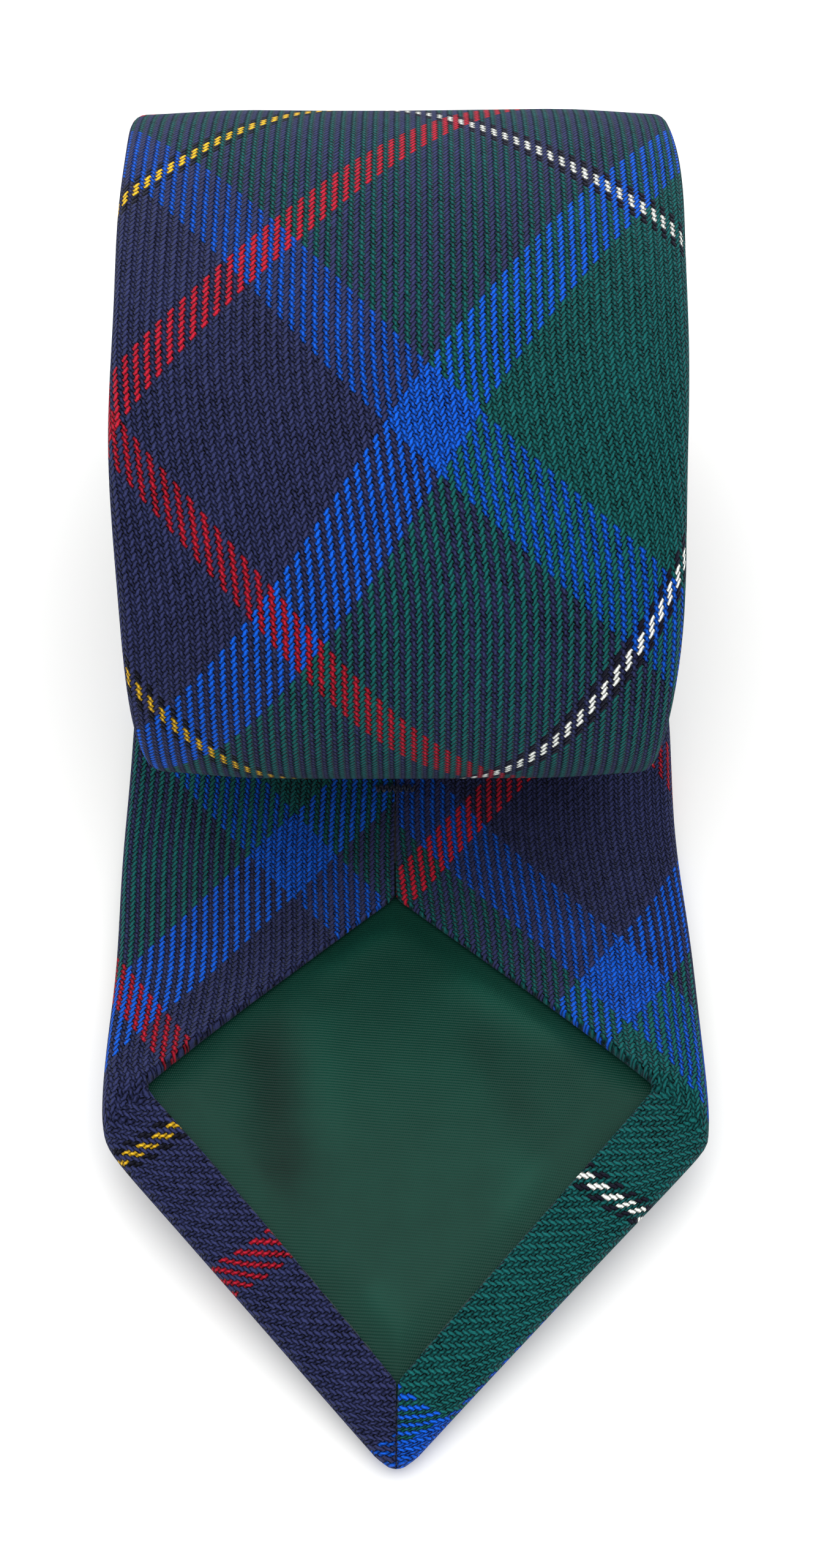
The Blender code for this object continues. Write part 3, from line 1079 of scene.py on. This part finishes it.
def zigzag(middle, width, start, end):
    """A close satin stitch from start to end, as wide as this about the middle.

    Gives the places from start to end, the places from side to side, and the heights.
    """
    rows = int(round((end - start) / TACK_SPACING))
    steps = np.linspace(0.0, rows, rows * 6 + 1)
    swing = np.abs((steps % 2) - 1) * 2 - 1
    swing = np.sin(0.5 * np.pi * swing)
    height = TACK_HEIGHT + TACK_BOW * (1 - swing**2)
    return start + (end - start) * steps / rows, middle + 0.5 * width * swing, height


def end_stitches():
    """Each tip's mitre, and the seams that hold the lining to the hems."""
    for name, end, body in (("blade", BLADE, "blade_end"), ("tail", TAIL, "roll")):
        mitre = (MITRE_FROM_TIP, end["hem"] - MITRE_FROM_HEM)
        seam = (end["hem"] + LINING_SEAM_FROM_HEM, end["inner"][0] - LINING_SEAM_FROM_CORNER)
        if name == "tail":
            mitre, seam = (tuple(LENGTH - d for d in reversed(span)) for span in (mitre, seam))
        path = ladder(*mitre, *MITRE)
        thread = stitches(name + "_mitre_thread", path, SLIP_THREAD, THREAD_NAVY)
        finish_piece(thread, body, "thread", name + "_mitre_stitch")
        distance = np.arange(*seam, LINING_SEAM_SPACING)
        for side, word in ((-1, "left"), (1, "right")):
            edge = flap_edge(distance, side) - LINING_INSET
            dip = LINING_DIP * np.cos(2 * np.pi * distance / LINING_STITCH)
            height = LINING_LOW + LINING + LINING_OVER + dip
            path = np.column_stack((side * edge, distance, height))
            thread = stitches(f"{name}_lining_thread_{word}", path, LINING_THREAD, THREAD_GREEN)
            finish_piece(thread, body, "thread", f"{name}_tipping_seam_{word}")


def back_seam():
    """The slip stitch that closes the back, and the bar tack at each of its ends."""
    tail_tack = LENGTH - TAIL_TACK
    slip = ladder(BLADE_TACK, tail_tack, *SLIP)
    thread = stitches("slip_thread", slip, SLIP_THREAD, THREAD_NAVY, sides=6)
    finish_piece(thread, "roll", "thread", "slip_stitch")
    for name, at in (("blade_bar_tack", BLADE_TACK), ("tail_bar_tack", tail_tack)):
        middle = float(seam_shift(at))
        reach = 0.5 * TACK[1]
        across, along, height = zigzag(at, TACK[0], middle - reach, middle + reach)
        path = np.column_stack((across, along, height))
        thread = stitches(name + "_thread", path, SEAM_THREAD, THREAD_NAVY)
        finish_piece(thread, "roll", "thread", name)


def keeper():
    """The loop of the tie's own cloth on the blade's back, and the tack at each of its ends."""
    half = 0.5 * KEEPER["across"]
    start = KEEPER["middle"] - 0.5 * KEEPER["along"]
    end = start + KEEPER["along"]
    distance = np.linspace(start, end, 25)
    points, strip = flat_strip(
        distance, lambda d, side: half + 0.0 * d, KEEPER_LOW, KEEPER_LOW + THREAD, columns=48
    )
    warp = (THREADS_ACROSS * strip[..., 0] + THREADS_ALONG * strip[..., 1]) * MM / THREAD_PITCH
    weft = (THREADS_ACROSS * strip[..., 0] - THREADS_ALONG * strip[..., 1]) * MM / THREAD_PITCH
    counts = np.stack((warp, weft, 0.0 * warp - 1.0), axis=-1)
    loop = mesh_from_rings("keeper_strip", points, WOOL_CLOTH, {"flap": counts, "hem": counts})
    finish_piece(loop, "roll", "tartan_wool", "keeper_loop")
    for word, side in (("left", -1), ("right", 1)):
        middle = side * (half + GAP + 0.5 * TACK[0])
        along, across, height = zigzag(middle, KEEPER_TACK_WIDTH, start, end)
        path = np.column_stack((across, along, height))
        thread = stitches(f"keeper_thread_{word}", path, SEAM_THREAD, THREAD_NAVY)
        finish_piece(thread, "roll", "thread", f"keeper_tack_{word}")


shell()
neck_seams()
interlining()
lining()
end_stitches()
back_seam()
keeper()

# ---------------------------------------------------------------- floor, light and camera

FLOOR_REACH = 3.0
WORLD_STRENGTH = 1.08

sides = ((-1, -1), (1, -1), (1, 1), (-1, 1))
corners = [(x * FLOOR_REACH, y * FLOOR_REACH, 0.0) for x, y in sides]
floor_data = bpy.data.meshes.new("floor")
floor_data.from_pydata(corners, [], [(0, 1, 2, 3)])
floor = bpy.data.objects.new("floor", floor_data)
floor_data.materials.append(plain_material("white_table", (0.9, 0.9, 0.89), 0.6))
bpy.context.scene.collection.objects.link(floor)

scene = bpy.context.scene
scene.view_settings.view_transform = "Standard"
world = bpy.data.worlds.new("studio")
scene.world = world
world.use_nodes = True
sky = world.node_tree.nodes["Background"].inputs
sky["Color"].default_value = (1.0, 1.0, 1.0, 1.0)
sky["Strength"].default_value = WORLD_STRENGTH


def area_light(name, place, aim, size, power):
    data = bpy.data.lights.new(name, "AREA")
    data.shape = "DISK"
    data.size = size
    data.energy = power
    light = bpy.data.objects.new(name, data)
    light.location = place
    light.rotation_euler = (Vector(aim) - Vector(place)).to_track_quat("-Z", "Y").to_euler()
    scene.collection.objects.link(light)


area_light("softbox", place=(0.0, 0.26, 0.95), aim=(0.0, -0.02, 0.0), size=1.8, power=9.5)

CAMERA_PLACE = (0.0016, -0.25116, 0.35347)
CAMERA_LOOKS_DOWN = 58.6  # degrees below the horizon
CAMERA_LENS = 61.7
CAMERA_SENSOR = 36.0

camera_data = bpy.data.cameras.new("camera")
camera_data.sensor_width = CAMERA_SENSOR
camera_data.lens = CAMERA_LENS
camera_data.clip_start = 0.01
camera = bpy.data.objects.new("camera", camera_data)
camera.location = CAMERA_PLACE
camera.rotation_euler = (math.radians(90.0 - CAMERA_LOOKS_DOWN), 0.0, 0.0)
scene.collection.objects.link(camera)
scene.camera = camera
